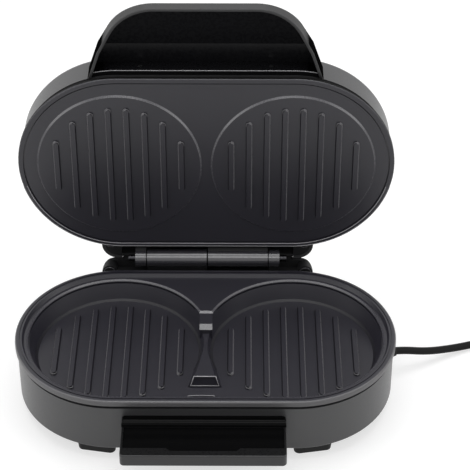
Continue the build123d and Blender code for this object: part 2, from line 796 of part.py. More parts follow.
# ================================================================================== hinge axle
with BuildPart() as hinge_axle:
    with BuildSketch(base_section(-axle_length / 2)):
        with Locations((hinge_back, axis_z)):
            Circle(axle_radius)
    extrude(amount=axle_length)
    chamfer(hinge_axle.edges().filter_by(GeomType.CIRCLE), length=0.5)
write(hinge_axle, "hinge_axle")

# ================================================================================== upper plate
with BuildPart() as upper_plate:
    with BuildSketch(lid_plane(0)):
        oval(plate_radius)
    extrude(amount=-upper_skirt)
    fillet(upper_plate.edges().group_by(Axis.Y)[0], radius=upper_edge_round)
    with BuildSketch(lid_plane(0)):
        oval(plate_radius - upper_rim_width)
    extrude(amount=-upper_field_drop, mode=Mode.SUBTRACT)
    with BuildSketch(lid_plane(0)):
        oval(plate_radius - upper_rim_width)
        oval(plate_radius - upper_rim_width - upper_groove_width, mode=Mode.SUBTRACT)
    extrude(amount=-upper_groove_depth, mode=Mode.SUBTRACT)
    with BuildSketch(lid_plane(upper_field_drop)):
        with Locations((-half_spacing, 0), (half_spacing, 0)):
            Circle(upper_disc_radius)
    extrude(amount=upper_disc_rise, taper=45)
    with BuildSketch(lid_plane(upper_field_drop - upper_disc_rise)):
        rib_slots(upper_rib_reach)
    extrude(amount=upper_rib_height, taper=rib_draft)
    # bosses behind for the heat shield and for the frame's lugs
    with BuildSketch(lid_plane(upper_skirt - weld)):
        with Locations(*boss_places):
            Circle(boss_radius)
    extrude(amount=upper_skirt - weld - shield_depth + shield_thickness)
    with BuildSketch(lid_plane(upper_skirt - weld)):
        with Locations(*frame_lug_places):
            Circle(lug_boss_radius)
    extrude(amount=upper_skirt - weld - shell_front)
    with BuildSketch(lid_plane(upper_skirt)):
        with Locations(*boss_places, *frame_lug_places):
            Circle(screw_radius + screw_pilot_clearance)
    extrude(amount=-shield_depth, mode=Mode.SUBTRACT)
write(upper_plate, "upper_plate")

# ================================================================================== lid housing
with BuildPart() as lid_housing:
    with BuildSketch(lid_plane(shell_front)):
        oval_with_tail(lid_radius, lid_tail, way=-1)
    extrude(amount=-lid_shell_height)
    fillet(lid_housing.edges().group_by(Axis.Y)[-1], radius=lid_edge_round)
    with BuildSketch(lid_plane(shell_front)):
        oval_with_tail(lid_radius, lid_tail, lid_wall, way=-1)
    extrude(amount=lid_wall - lid_shell_height, mode=Mode.SUBTRACT)
    # room for the hinge barrels below the hood's back wall
    with BuildSketch(lid_plane(shell_front)):
        with Locations((0, -lid_tail)):
            Rectangle(2 * hood_half_width, 4 * lid_wall)
    extrude(amount=shell_front - hood_lift, mode=Mode.SUBTRACT)
    # bosses for the ear screws
    with BuildSketch(lid_plane(ear_cup_depth)):
        with Locations(*ear_places):
            Circle(ear_cup_radius)
            Circle(screw_radius + screw_pilot_clearance, mode=Mode.SUBTRACT)
    extrude(amount=ear_cup_depth - (lid_depth - lid_wall) - weld)
    # windows for the two lenses
    with BuildSketch(lid_plane(lid_depth)):
        with Locations(*lens_places):
            Circle(lens_radius + seat_clearance)
    extrude(amount=lid_wall, mode=Mode.SUBTRACT)
    # holes for the grip's screws
    with BuildSketch(lid_grip_wall):
        with Locations(*lid_grip_places):
            Circle(screw_radius + screw_pilot_clearance)
    extrude(amount=-lid_wall, mode=Mode.SUBTRACT)
write(lid_housing, "lid_housing")

# ================================================================================== lid frame
with BuildPart() as lid_frame:
    with BuildSketch(lid_plane(shell_front)):
        oval_with_tail(lid_radius, lid_tail, lid_wall + cover_clearance, way=-1)
        oval(lid_radius - frame_width, mode=Mode.SUBTRACT)
        with Locations((0, -lid_tail)):
            Rectangle(2 * hood_half_width, 2 * (lid_tail_back + arm_drop), mode=Mode.SUBTRACT)
        for way in (-1, 1):
            with Locations((0, way * (plate_radius - frame_lug_reach / 2 - lid_wall))):
                Rectangle(2 * lug_half, frame_lug_reach - 2 * lid_wall)
        with Locations(*frame_lug_places, *ear_places):
            Circle(screw_radius + screw_pilot_clearance, mode=Mode.SUBTRACT)
    extrude(amount=-frame_thickness)
    with BuildSketch(lid_plane(upper_skirt)):
        oval(lid_radius - lid_wall - cover_clearance)
        oval(lid_radius - lid_wall - cover_clearance - seat_ring, mode=Mode.SUBTRACT)
    extrude(amount=upper_skirt - shell_front - weld)
    # screw cups in the two ears
    with BuildSketch(lid_plane(shell_front)):
        with Locations(*ear_places):
            Circle(ear_cup_radius)
    extrude(amount=shell_front - ear_cup_depth)
    with BuildSketch(lid_plane(shell_front)):
        with Locations(*ear_places):
            Circle(ear_recess_radius)
    extrude(amount=-ear_recess, mode=Mode.SUBTRACT)
    with BuildSketch(lid_plane(shell_front)):
        with Locations(*ear_places):
            Circle(screw_radius + screw_pilot_clearance)
    extrude(amount=shell_front - ear_cup_depth, mode=Mode.SUBTRACT)
    # hinge barrels on their arms
    for start, length in (
        (barrel_gap + barrel_length, barrel_length),
        (-barrel_gap - barrel_length - tab_gap, tab_length),
    ):
        with BuildSketch(lid_section(start)):
            with BuildLine():
                Polyline(
                    (-hinge_back, rim_below_axis),
                    (-hinge_back, rim_below_axis + barrel_radius),
                    (-hinge_back + arm_drop + weld, shell_front + frame_thickness),
                    (-hinge_back + arm_drop + weld, shell_front),
                    (-hinge_back + barrel_radius, rim_below_axis),
                    close=True,
                )
            make_face()
            with Locations((-hinge_back, rim_below_axis)):
                Circle(barrel_radius)
                Circle(axle_radius + axle_clearance, mode=Mode.SUBTRACT)
        extrude(amount=length)
write(lid_frame, "lid_frame")

# ================================================================================== lid grip
grip_corners = [
    (-lid_handle_root_half, lid_handle_root),
    (-lid_handle_bend_half, lid_handle_bend),
    (-lid_handle_front, lid_handle_reach),
    (lid_handle_front, lid_handle_reach),
    (lid_handle_bend_half, lid_handle_bend),
    (lid_handle_root_half, lid_handle_root),
]

with BuildSketch() as grip_outline:
    Polygon(*grip_corners, align=None)
    fillet(grip_outline.vertices().group_by(Axis.Y)[-1], radius=lid_handle_corner)

with BuildSketch() as grip_inside:
    add(grip_outline.sketch)
    offset(amount=-lid_handle_wall)

with BuildPart() as grip_hollow:
    with BuildSketch(lid_plane(-1)):
        add(grip_inside.sketch)
        oval(lid_radius + seat_gap + lid_handle_flange, mode=Mode.SUBTRACT)
    extrude(amount=-lid_depth)
    with BuildSketch(lid_section(2 * lid_handle_root_half)):
        with BuildLine():
            Polyline(
                (lid_handle_root, -2),
                (lid_handle_root, lid_handle_root_depth - lid_handle_skin),
                (lid_handle_bend, lid_handle_bend_depth - lid_handle_skin),
                (lid_handle_reach, lid_handle_tip_depth - lid_handle_tip_skin),
                (lid_handle_reach, -2),
                close=True,
            )
        make_face()
    extrude(amount=4 * lid_handle_root_half, mode=Mode.INTERSECT)
    with BuildSketch(lid_plane(-1)):
        add(grip_inside.sketch)
    extrude(amount=-lid_handle_seat - 1)

with BuildPart() as lid_handle:
    with BuildSketch(lid_plane(lid_handle_rim)):
        add(grip_outline.sketch)
        oval(lid_radius + seat_gap, mode=Mode.SUBTRACT)
    extrude(amount=-lid_handle_root_depth)
    with BuildSketch(lid_section(2 * lid_handle_root_half)):
        with BuildLine():
            Polyline(
                (lid_handle_root, lid_handle_rim),
                (lid_handle_root, lid_handle_root_depth),
                (lid_handle_bend, lid_handle_bend_depth),
                (lid_handle_reach, lid_handle_tip_depth),
                (lid_handle_reach, lid_handle_rim),
                close=True,
            )
        make_face()
    extrude(amount=4 * lid_handle_root_half, mode=Mode.INTERSECT)
    add(grip_hollow.part, mode=Mode.SUBTRACT)
    chamfer(lid_handle.edges().group_by(Axis.Y)[0], length=lid_handle_bevel)
    with BuildSketch(lid_grip_wall.offset(seat_gap + lid_handle_flange)):
        with Locations(*lid_grip_places):
            Circle(screw_radius + screw_pilot_clearance)
    extrude(amount=-2 * lid_handle_flange, mode=Mode.SUBTRACT)
write(lid_handle, "lid_handle")

# ================================================================================== heating
write(heating_loop(base_plane(element_z), 1, element_pin), "lower_heating_element")
write(heating_loop(lid_plane(element_depth), -1, element_pin), "upper_heating_element")

with BuildPart() as lower_heat_shield:
    add(heat_shield(base_plane(shield_z), 1).part)
    with BuildSketch(base_plane(shield_z)):
        with Locations((half_spacing, 0)):
            Circle(thermostat_radius + 2)
    extrude(amount=shield_thickness, mode=Mode.SUBTRACT)
write(lower_heat_shield, "lower_heat_shield")
write(heat_shield(lid_plane(shield_depth), -1), "upper_heat_shield")

with BuildPart() as thermostat:
    with BuildSketch(base_plane(pan_under)):
        with Locations((half_spacing, 0)):
            Circle(thermostat_radius)
    extrude(amount=thermostat_cap - thermostat_height)
    with BuildSketch(base_plane(pan_under - thermostat_height)):
        with Locations((half_spacing, 0)):
            Circle(thermostat_radius - 1)
    extrude(amount=thermostat_cap)
    with BuildSketch(base_plane(pan_under - thermostat_height)):
        with Locations((half_spacing - 4, 0), (half_spacing + 4, 0)):
            Rectangle(tab_blade_thickness, tab_blade_width)
    extrude(amount=-tab_blade_length)
write(thermostat, "thermostat")

fuse_z = pan_under - seat_clearance - fuse_radius
with BuildPart() as thermal_fuse:
    fuse_plane = Plane(
        origin=(-half_spacing, pan_y - fuse_length / 2, fuse_z), x_dir=(1, 0, 0), z_dir=(0, 1, 0)
    )
    with BuildSketch(fuse_plane):
        Circle(fuse_radius)
    extrude(amount=fuse_length)
    chamfer(thermal_fuse.edges().filter_by(GeomType.CIRCLE), length=0.6)
write(thermal_fuse, "thermal_fuse")

with BuildPart() as fuse_clip:
    clip_plane = Plane(
        origin=(-half_spacing, pan_y - clip_width / 2, 0), x_dir=(-1, 0, 0), z_dir=(0, 1, 0)
    )
    hug = fuse_radius + seat_clearance
    with BuildSketch(clip_plane):
        with Locations((0, fuse_z)):
            Circle(hug + clip_thickness)
        with Locations((0, pan_under)):
            Rectangle(2 * (hug + clip_thickness), pan_under - fuse_z, align=(Align.CENTER, Align.MAX))
            Rectangle(2 * (hug + clip_foot), clip_thickness, align=(Align.CENTER, Align.MAX))
        with Locations((0, fuse_z)):
            Circle(hug, mode=Mode.SUBTRACT)
            Rectangle(2 * hug, 2 * hug, align=(Align.CENTER, Align.MIN), mode=Mode.SUBTRACT)
    extrude(amount=clip_width)
write(fuse_clip, "fuse_clip")

# ================================================================================== mains entry
def gland_plane(height):
    """A level plane with its X axis along the cord's way out and its origin at the pan's centre."""
    return Plane(origin=(half_spacing, pan_y, height), x_dir=gland_axis, z_dir=(0, 0, 1))


with BuildPart() as terminal_block:
    with BuildSketch(gland_plane(cover_top)):
        with Locations((terminal_near + terminal_depth / 2, 0)):
            Rectangle(terminal_depth, terminal_width)
    extrude(amount=terminal_height)
    chamfer(terminal_block.edges().group_by(Axis.Z)[-1], length=1)
    with BuildSketch(gland_plane(cover_top + terminal_height)):
        with Locations((terminal_near + terminal_depth / 2, 0)):
            with GridLocations(0, terminal_width / 3, 1, 3):
                Circle(2)
    extrude(amount=-3, mode=Mode.SUBTRACT)
write(terminal_block, "terminal_block")

with BuildPart() as supply_leads:
    lead_start = Plane(
        origin=(half_spacing, pan_y, gland_height),
        x_dir=(-gland_axis[1], gland_axis[0], 0),
        z_dir=gland_axis,
    ).offset(terminal_near + terminal_depth)
    with BuildSketch(lead_start):
        with Locations((-lead_spread, 0), (lead_spread, 0)):
            Circle(lead_radius)
    extrude(amount=lead_reach)
write(supply_leads, "supply_leads")

with BuildPart() as cord_bushing:
    bushing_plane = Plane(
        origin=(half_spacing, pan_y, gland_height),
        x_dir=gland_axis,
        z_dir=(gland_axis[1], -gland_axis[0], 0),
    )
    flange_end = base_radius - wall - 0.5
    with BuildSketch(bushing_plane):
        with BuildLine():
            Polyline(
                (base_radius - bushing_inset, bushing_bore),
                (base_radius - bushing_inset, bushing_radius),
                (flange_end - bushing_flange_thickness, bushing_radius),
                (flange_end - bushing_flange_thickness, bushing_flange_radius),
                (flange_end, bushing_flange_radius),
                (flange_end, bushing_radius),
                (base_radius + 1, bushing_radius),
                (base_radius + bushing_reach, bushing_tip_radius),
                (base_radius + bushing_reach, bushing_bore),
                close=True,
            )
        make_face()
    revolve(axis=Axis((half_spacing, pan_y, gland_height), gland_axis))
write(cord_bushing, "cord_bushing")

# ================================================================================== cord
route_points = [(x, pan_y + back, z) for x, back, z in cord_points]
bend_radii = []
for before, here, after in zip(route_points, route_points[1:], route_points[2:]):
    first = Vector(*here) - Vector(*before)
    second = Vector(*after) - Vector(*here)
    turn = math.radians(first.get_angle(second))
    shorter = min(first.length, second.length)
    bend_radii.append(cord_bend_share * shorter / math.tan(turn / 2))
print("cord bend radii", [round(radius, 1) for radius in bend_radii])

with BuildPart() as cord:
    with BuildLine() as cord_line:
        FilletPolyline(*route_points, radius=bend_radii)
    with BuildSketch(Plane(origin=cord_line.wire() @ 0, z_dir=cord_line.wire() % 0)):
        Circle(cord_diameter / 2)
    sweep()
tube_length = cord_line.wire().length
section = math.pi * cord_diameter**2 / 4
print("cord tube", round(cord.part.volume), "section by length", round(section * tube_length))
write(cord, "cord")

coil_axis = Axis((coil_centre_x, pan_y + coil_centre_back, 0), (0, 0, 1))
with BuildPart() as cord_coil:
    with BuildSketch(
        Plane(origin=(coil_centre_x, pan_y + coil_centre_back, 0), x_dir=(1, 0, 0), z_dir=(0, -1, 0))
    ):
        with Locations((coil_turn_radius, cord_floor_gap + coil_layers * cord_diameter / 2)):
            RectangleRounded(2 * cord_diameter, coil_layers * cord_diameter, 0.45 * cord_diameter)
    revolve(axis=coil_axis)
write(cord_coil, "cord_coil")

# ================================================================================== plug
plug_x = coil_centre_x + coil_turn_radius
plug_start = pan_y + coil_centre_back - plug_lead
plug_z = coil_top + weld + plug_height / 2


def plug_plane(along):
    """A plane across the plug, this far from its tail's end."""
    return Plane(origin=(plug_x, plug_start + along, plug_z), x_dir=(1, 0, 0), z_dir=(0, 1, 0))


with BuildPart() as plug_body:
    with BuildSketch(plug_plane(0)):
        Circle(plug_tail_radius)
    with BuildSketch(plug_plane(plug_tail_length)):
        RectangleRounded(plug_width, plug_height, 5)
    loft()
    with BuildSketch(plug_plane(plug_tail_length)):
        RectangleRounded(plug_width, plug_height, 5)
    extrude(amount=plug_body_length)
write(plug_body, "plug_body")

with BuildPart() as plug_blades:
    with BuildSketch(plug_plane(plug_tail_length + plug_body_length)):
        with GridLocations(blade_spacing, 0, 2, 1):
            Rectangle(blade_thickness, blade_width)
    extrude(amount=blade_length)
write(plug_blades, "plug_blades")

# ================================================================================== lenses and lamps
for (x, up), name in zip(lens_places, ("power", "ready")):
    with BuildPart() as lens:
        with BuildSketch(lid_plane(lid_depth - lid_wall)):
            with Locations((x, up)):
                Circle(lens_flange)
        extrude(amount=lens_flange_thickness)
        with BuildSketch(lid_plane(lid_depth - lid_wall)):
            with Locations((x, up)):
                Circle(lens_radius)
        extrude(amount=-lid_wall - lens_dome)
        chamfer(lens.edges().group_by(Axis.Y)[-1], length=1)
    write(lens, f"{name}_lens")
    with BuildPart() as lamp:
        with BuildSketch(lid_plane(lid_depth - lid_wall - lens_flange_thickness)):
            with Locations((x, up)):
                Circle(lamp_radius)
        extrude(amount=lamp_length)
    write(lamp, f"{name}_lamp")

# ================================================================================== screws
def down_plane(x, back, z):
    """A plane that faces the ground."""
    return Plane(origin=(x, pan_y + back, z), x_dir=(1, 0, 0), z_dir=(0, 0, -1))


def deep_plane(x, up, depth):
    """A plane parallel to the lid's face that faces away from it."""
    return Plane(
        origin=(x, lid_face_y + depth, lid_centre_z + up), x_dir=(1, 0, 0), z_dir=(0, 1, 0)
    )


lower_shield_places = [down_plane(x, y, shield_z) for x, y in boss_places]
write(screws(lower_shield_places, shield_screw_length), "lower_shield_screws")
lower_plate_places = [down_plane(x, y, lug_top - lug_thickness) for x, y in lug_places]
write(screws(lower_plate_places, plate_screw_length), "lower_plate_screws")
cover_places = [down_plane(x, y, ground_clearance) for x, y in cover_boss_places]
write(screws(cover_places, cover_screw_length), "cover_screws")
grip_places = [
    Plane(origin=(x, pan_y - base_radius + wall, grip_screw_rise), x_dir=(1, 0, 0), z_dir=(0, 1, 0))
    for x in (-grip_screw_half, grip_screw_half)
]
write(screws(grip_places, wall + grip_boss_length - screw_tip_gap), "base_handle_screws")
upper_shield_places = [deep_plane(x, y, shield_depth) for x, y in boss_places]
write(screws(upper_shield_places, shield_screw_length), "upper_shield_screws")
upper_plate_places = [deep_plane(x, y, shell_front + frame_thickness) for x, y in frame_lug_places]
upper_plate_screw_length = frame_thickness + shell_front - upper_skirt - screw_tip_gap
write(screws(upper_plate_places, upper_plate_screw_length), "upper_plate_screws")
ear_screw_places = [
    Plane(
        origin=(x, lid_face_y + shell_front + ear_recess, lid_centre_z + y),
        x_dir=(1, 0, 0),
        z_dir=(0, -1, 0),
    )
    for x, y in ear_places
]
write(screws(ear_screw_places, ear_screw_length), "ear_screws")
lid_grip_screw_places = [
    Plane(
        origin=(x, lid_face_y + lid_grip_screw_depth, lid_centre_z + lid_radius - lid_wall),
        x_dir=(1, 0, 0),
        z_dir=(0, 0, -1),
    )
    for x in (-lid_grip_screw_half, lid_grip_screw_half)
]
write(screws(lid_grip_screw_places, lid_wall + seat_gap + lid_handle_flange), "lid_handle_screws")
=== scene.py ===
import json
import math

import bmesh
import bpy
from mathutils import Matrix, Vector


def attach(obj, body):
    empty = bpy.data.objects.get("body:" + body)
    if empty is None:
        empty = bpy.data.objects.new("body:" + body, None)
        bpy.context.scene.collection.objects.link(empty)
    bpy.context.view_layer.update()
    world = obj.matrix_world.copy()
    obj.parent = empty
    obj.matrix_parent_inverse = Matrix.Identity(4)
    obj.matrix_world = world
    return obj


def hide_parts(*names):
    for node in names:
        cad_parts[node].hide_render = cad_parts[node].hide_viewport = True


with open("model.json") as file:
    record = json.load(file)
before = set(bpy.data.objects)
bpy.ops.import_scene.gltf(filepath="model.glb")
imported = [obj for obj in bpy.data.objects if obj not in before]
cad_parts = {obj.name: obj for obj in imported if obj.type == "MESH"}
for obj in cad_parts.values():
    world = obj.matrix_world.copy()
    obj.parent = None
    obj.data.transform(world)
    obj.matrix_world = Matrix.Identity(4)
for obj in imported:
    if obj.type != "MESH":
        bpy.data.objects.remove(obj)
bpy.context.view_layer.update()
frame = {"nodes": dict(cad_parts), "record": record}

nodes = frame["nodes"]
MM = 0.001

# ---------------------------------------------------------------- sizes and places
# Millimetres in the row frame, down to the studio's own heading. A depth counts back from the open
# lid's face, an up from the line through the raised discs' centres, and a back from the line
# through the pans' centres.
PAN_SPACING = 122.5
HALF_SPACING = PAN_SPACING / 2
PAN_CENTRE_Y = -5.85
LID_FACE_Y = 75.85
LID_CENTRE_Z = 139.0
BASE_RADIUS = 70.0
HINGE_Y = 77.25
HINGE_Z = 55.9
RIB_COUNT = 8
RIB_PITCH = 12.5
RIB_WIDTH = 4.6
RIB_REACH = 50.5
UPPER_RIB_REACH = 48.6
RIB_MIDDLE_Z = 37.6
UPPER_RIB_MIDDLE_Y = 74.35


# ---------------------------------------------------------------- camera
CAMERA_PLACE = (24.405, -945.094, 843.69)
CAMERA_LENS = 134.67
CAMERA_SENSOR = 36.0
CAMERA_DIP_DEGREES = 36.867
CAMERA_YAW_DEGREES = 0.235


def make_camera():
    """A long lens over a metre away from the open machine, looking down at it."""
    camera = bpy.data.objects.new("camera", bpy.data.cameras.new("camera"))
    bpy.context.scene.collection.objects.link(camera)
    camera.data.sensor_width = CAMERA_SENSOR
    camera.data.lens = CAMERA_LENS
    camera.location = [along * MM for along in CAMERA_PLACE]
    dip = math.radians(CAMERA_DIP_DEGREES)
    yaw = math.radians(CAMERA_YAW_DEGREES)
    camera.rotation_euler = (math.pi / 2 - dip, 0.0, yaw)
    bpy.context.scene.camera = camera


make_camera()


# ---------------------------------------------------------------- node helpers
def new_material(name):
    """A material with an untouched Principled shader, and the pieces to build on."""
    material = bpy.data.materials.new(name)
    material.use_nodes = True
    tree = material.node_tree
    shader = tree.nodes["Principled BSDF"]
    return material, tree, shader


def noise(tree, scale, detail=2.0, roughness=0.5, stretch=(1, 1, 1)):
    """A noise field in the row frame's own metres."""
    place = tree.nodes.new("ShaderNodeTexCoord")
    mapping = tree.nodes.new("ShaderNodeMapping")
    mapping.inputs["Scale"].default_value = stretch
    field = tree.nodes.new("ShaderNodeTexNoise")
    field.inputs["Scale"].default_value = scale
    field.inputs["Detail"].default_value = detail
    field.inputs["Roughness"].default_value = roughness
    tree.links.new(place.outputs["Object"], mapping.inputs["Vector"])
    tree.links.new(mapping.outputs["Vector"], field.inputs["Vector"])
    return field.outputs["Fac"]


def between(tree, value, low, high, start=0.3, end=0.7):
    """value, spread from start and end over low to high."""
    spread = tree.nodes.new("ShaderNodeMapRange")
    spread.inputs["From Min"].default_value = start
    spread.inputs["From Max"].default_value = end
    spread.inputs["To Min"].default_value = low
    spread.inputs["To Max"].default_value = high
    tree.links.new(value, spread.inputs["Value"])
    return spread.outputs["Result"]


def blend_colours(tree, share, first, second):
    """first where share is 0, second where it is 1."""
    mix = tree.nodes.new("ShaderNodeMix")
    mix.data_type = "RGBA"
    mix.inputs["A"].default_value = (*first, 1)
    mix.inputs["B"].default_value = (*second, 1)
    tree.links.new(share, mix.inputs["Factor"])
    return mix.outputs["Result"]


def bump(tree, shader, height, distance, strength=0.5):
    """A fine relief, distance metres deep."""
    relief = tree.nodes.new("ShaderNodeBump")
    relief.inputs["Distance"].default_value = distance
    relief.inputs["Strength"].default_value = strength
    tree.links.new(height, relief.inputs["Height"])
    tree.links.new(relief.outputs["Normal"], shader.inputs["Normal"])


def finish(
    name,
    colour,
    roughness,
    metallic=0.0,
    specular=0.5,
    tone=0.12,
    patches=40.0,
    grain=900.0,
    depth=0.00002,
    stretch=(1, 1, 1),
    spread=0.06,
    coat=0.0,
):
    """A moulded, painted or metal surface: soft patches of tone, uneven gloss and a fine grain."""
    material, tree, shader = new_material(name)
    soft = noise(tree, patches, 3.0)
    dark = tuple(c * (1 - tone) for c in colour)
    light = tuple(min(1.0, c * (1 + tone)) for c in colour)
    tree.links.new(blend_colours(tree, soft, dark, light), shader.inputs["Base Color"])
    fine = noise(tree, grain, stretch=stretch)
    gloss = between(tree, fine, max(0.02, roughness - spread), roughness + spread)
    tree.links.new(gloss, shader.inputs["Roughness"])
    bump(tree, shader, fine, depth)
    shader.inputs["Metallic"].default_value = metallic
    shader.inputs["Specular IOR Level"].default_value = specular
    shader.inputs["Coat Weight"].default_value = coat
    return material


def painted_shade_wall(name, foot, head, low, high, roughness):
    """A satin wall whose tone and gloss fall off toward its foot as painted shade, from height high to
    low in metres.
    """
    material, tree, shader = new_material(name)
    place = tree.nodes.new("ShaderNodeTexCoord")
    split = tree.nodes.new("ShaderNodeSeparateXYZ")
    tree.links.new(place.outputs["Object"], split.inputs["Vector"])
    share = between(tree, split.outputs["Z"], 0.0, 1.0, low, high)
    tree.links.new(blend_colours(tree, share, foot, head), shader.inputs["Base Color"])
    tree.links.new(between(tree, share, 0.0, 0.45, 0.0, 1.0), shader.inputs["Specular IOR Level"])
    fine = noise(tree, 1800)
    gloss = between(tree, fine, roughness - 0.05, roughness + 0.05)
    tree.links.new(gloss, shader.inputs["Roughness"])
    bump(tree, shader, fine, 0.000012)
    return material


def dress(node, material):
    """A carried-over solid takes this finish."""
    slots = nodes[node].data.materials
    slots.clear()
    slots.append(material)


# ---------------------------------------------------------------- finishes
def cast(name, colour, roughness, specular, tone=0.1, patches=60, depth=0.00001):
    """A coated surface of the cast plates, or a lighter or darker copy of it that paints a highlight or
    shade.
    """
    return finish(
        name, colour, roughness, specular=specular, tone=tone, patches=patches, grain=1600, depth=depth
    )


def metal(name, colour, roughness, **more):
    """A bare or plated metal."""
    return finish(name, colour, roughness, metallic=1.0, **more)


SHELL = finish(
    "shell_satin", (0.050, 0.050, 0.052), 0.36, specular=0.6, tone=0.04, grain=1400, depth=0.000012
)
PLATE = cast("plate_coating", (0.0165, 0.0156, 0.0225), 0.36, 0.62, patches=25, depth=0.00002)
# Painted highlight: a lighter copy of the coating for the lower plate's side and rounded upper edge.
PLATE_SIDE_HIGHLIGHT = cast("plate_side_painted_highlight", (0.115, 0.113, 0.118), 0.40, 0.55, depth=0.00002)
# Painted highlight: a lighter copy of the coating for the saddle's slopes and the ribs' rounded ends.
EDGE_HIGHLIGHT = cast("edge_painted_highlight", (0.095, 0.093, 0.100), 0.30, 0.8)
# Painted highlight: a light grey copy of the coating for bright lines along rounded edges.
PLATE_HIGHLIGHT = cast("plate_edge_painted_highlight", (0.34, 0.335, 0.35), 0.30, 0.8, tone=0.15)
# Painted shade: a darker copy of the coating for the ribs' inward sides and the bevel at the pans'
# floors.
PLATE_SHADE = cast("plate_painted_shade", (0.0085, 0.0080, 0.0115), 0.45, 0.35, patches=25, depth=0.00002)
# Painted highlight, dimmer: for the pans' upper bevel, the discs' steps and the hinge's rings.
DIM_HIGHLIGHT = cast("dim_painted_highlight", (0.060, 0.058, 0.068), 0.28, 0.85)
# Painted highlight: a light copy of the coating for the ribs' outward sides and the ridge's bar.
RIB_HIGHLIGHT = cast("rib_painted_highlight", (0.17, 0.167, 0.178), 0.30, 0.85)
# Painted shade: near black for the upper plate's side, the hinge spacer and the crest's ends.
GAP_SHADE = finish("gap_painted_shade", (0.004, 0.004, 0.004), 0.6, specular=0.08, tone=0.1, grain=1500)
# The grip's glossy black with colour and reflection turned down: partly its real gloss, partly painted
# shade in the dish.
GRIP_GLOSS_SHADE = finish(
    "grip_gloss_painted_shade",
    (0.0032, 0.0032, 0.0034),
    0.12,
    specular=0.05,
    tone=0.1,
    patches=30,
    grain=120,
    depth=0.000004,
    spread=0.03,
)
# Painted shade: a darker copy of the grip's plastic for the lid grip's hollow.
GRIP_HOLLOW_SHADE = finish(
    "grip_hollow_painted_shade",
    (0.0062, 0.0062, 0.0072),
    0.28,
    specular=0.14,
    tone=0.15,
    patches=18,
    grain=400,
    depth=0.000004,
)
# Painted shade: a darker copy of the grip's plastic for the flange's front strip and the base grip's flat
# frame.
GRIP_BAND_SHADE = finish(
    "grip_band_painted_shade", (0.0075, 0.0075, 0.0080), 0.30, specular=0.10, tone=0.1, patches=30, depth=0.000006
)
# Painted shade: the grip's plastic, darker toward the foot of its outer side walls.
GRIP_SIDE_SHADE = painted_shade_wall("grip_side_painted_shade", (0.0035, 0.0035, 0.0036), (0.020, 0.020, 0.021), 0.234, 0.262, 0.42)
GRIP_SATIN = finish("grip_satin", (0.020, 0.020, 0.021), 0.42, tone=0.05, grain=1800, depth=0.000015)
HINGE = finish(
    "hinge_satin",
    (0.034, 0.033, 0.039),
    0.22,
    specular=0.95,
    tone=0.06,
    patches=50,
    grain=1600,
    depth=0.000012,
)
FRAME = finish("frame_matt", (0.010, 0.010, 0.011), 0.5, specular=0.4, tone=0.1, grain=1500)
COVER = finish("cover_matt", (0.022, 0.022, 0.023), 0.55, tone=0.1, grain=1200, depth=0.00003)
RUBBER = finish(
    "foot_rubber", (0.010, 0.010, 0.010), 0.6, specular=0.25, tone=0.15, grain=1500, depth=0.00003
)
AXLE = metal("axle_dark", (0.035, 0.035, 0.038), 0.25, tone=0.05, grain=500, depth=0.000005)
STEEL = metal(
    "sheath_steel", (0.42, 0.42, 0.43), 0.28, tone=0.05, grain=500, stretch=(0.05, 1, 1), depth=0.000005
)
SHEET = metal(
    "sheet_aluminium", (0.70, 0.70, 0.71), 0.35, tone=0.05, grain=300, stretch=(0.1, 1, 1), depth=0.000006
)
CERAMIC = finish("ceramic_cream", (0.72, 0.69, 0.62), 0.35, tone=0.05, grain=700)
BRASS = metal("brass_plain", (0.75, 0.58, 0.30), 0.25, tone=0.05, grain=400, depth=0.000005)
LEAD = finish("lead_insulation", (0.33, 0.17, 0.07), 0.45, tone=0.08)
SHEATH = finish("cord_sheath", (0.0075, 0.0075, 0.0075), 0.48, specular=0.12, patches=60, grain=700)
SCREW = metal("screw_plated", (0.22, 0.22, 0.225), 0.3, tone=0.1, grain=600, depth=0.000006)
RED_LENS = finish("lens_red", (0.50, 0.02, 0.012), 0.12, tone=0.08, grain=80, depth=0.000004, coat=0.5)
GREEN_LENS = finish("lens_green", (0.02, 0.38, 0.07), 0.12, tone=0.08, grain=80, depth=0.000004, coat=0.5)
LAMP = finish("lamp_glass", (0.85, 0.82, 0.76), 0.08, tone=0.05, grain=90, depth=0.000003)

FINISHES = {
    "shell": SHELL,
    "cover": COVER,
    "rubber": RUBBER,
    "grip": GRIP_SATIN,
    "frame": FRAME,
    "plate": PLATE,
    "steel": STEEL,
    "sheet": SHEET,
    "ceramic": CERAMIC,
    "brass": BRASS,
    "lead": LEAD,
    "sheath": SHEATH,
    "red_lens": RED_LENS,
    "green_lens": GREEN_LENS,
    "lamp": LAMP,
    "screw": SCREW,
}
for part in frame["record"]["subparts"]:
    dress(part["node"], FINISHES[part["material_slot"]])
dress("hinge_axle", AXLE)


# ---------------------------------------------------------------- finishes of single faces
def paint(node, material, chosen):
    """Faces of a carried-over solid whose centre and normal are chosen take another finish."""
    piece = nodes[node]
    piece.data.materials.append(material)
    slot = len(piece.data.materials) - 1
    turn = piece.matrix_world.to_3x3()
    for face in piece.data.polygons:
        centre = (piece.matrix_world @ face.center) / MM
        if chosen(centre, turn @ face.normal):
            face.material_index = slot


def inside(value, limits):
    """Whether a value lies between two limits."""
    return limits[0] < value < limits[1]


def off_spine(x, along):
    """How far a place lies from the line between the two pans' centres."""
    return math.hypot(max(0.0, abs(x) - HALF_SPACING), along)


def from_centre(x, along):
    """How far a place lies from the nearer pan's centre."""
    return math.hypot(abs(x) - HALF_SPACING, along)


def depth_and_up(centre):
    """A place's depth behind the open lid's face, and its height over the discs' centres."""
    return centre.y - LID_FACE_Y, centre.z - LID_CENTRE_Z


def back_of(centre):
    """How far a place lies behind the pans' centres."""
    return centre.y - PAN_CENTRE_Y


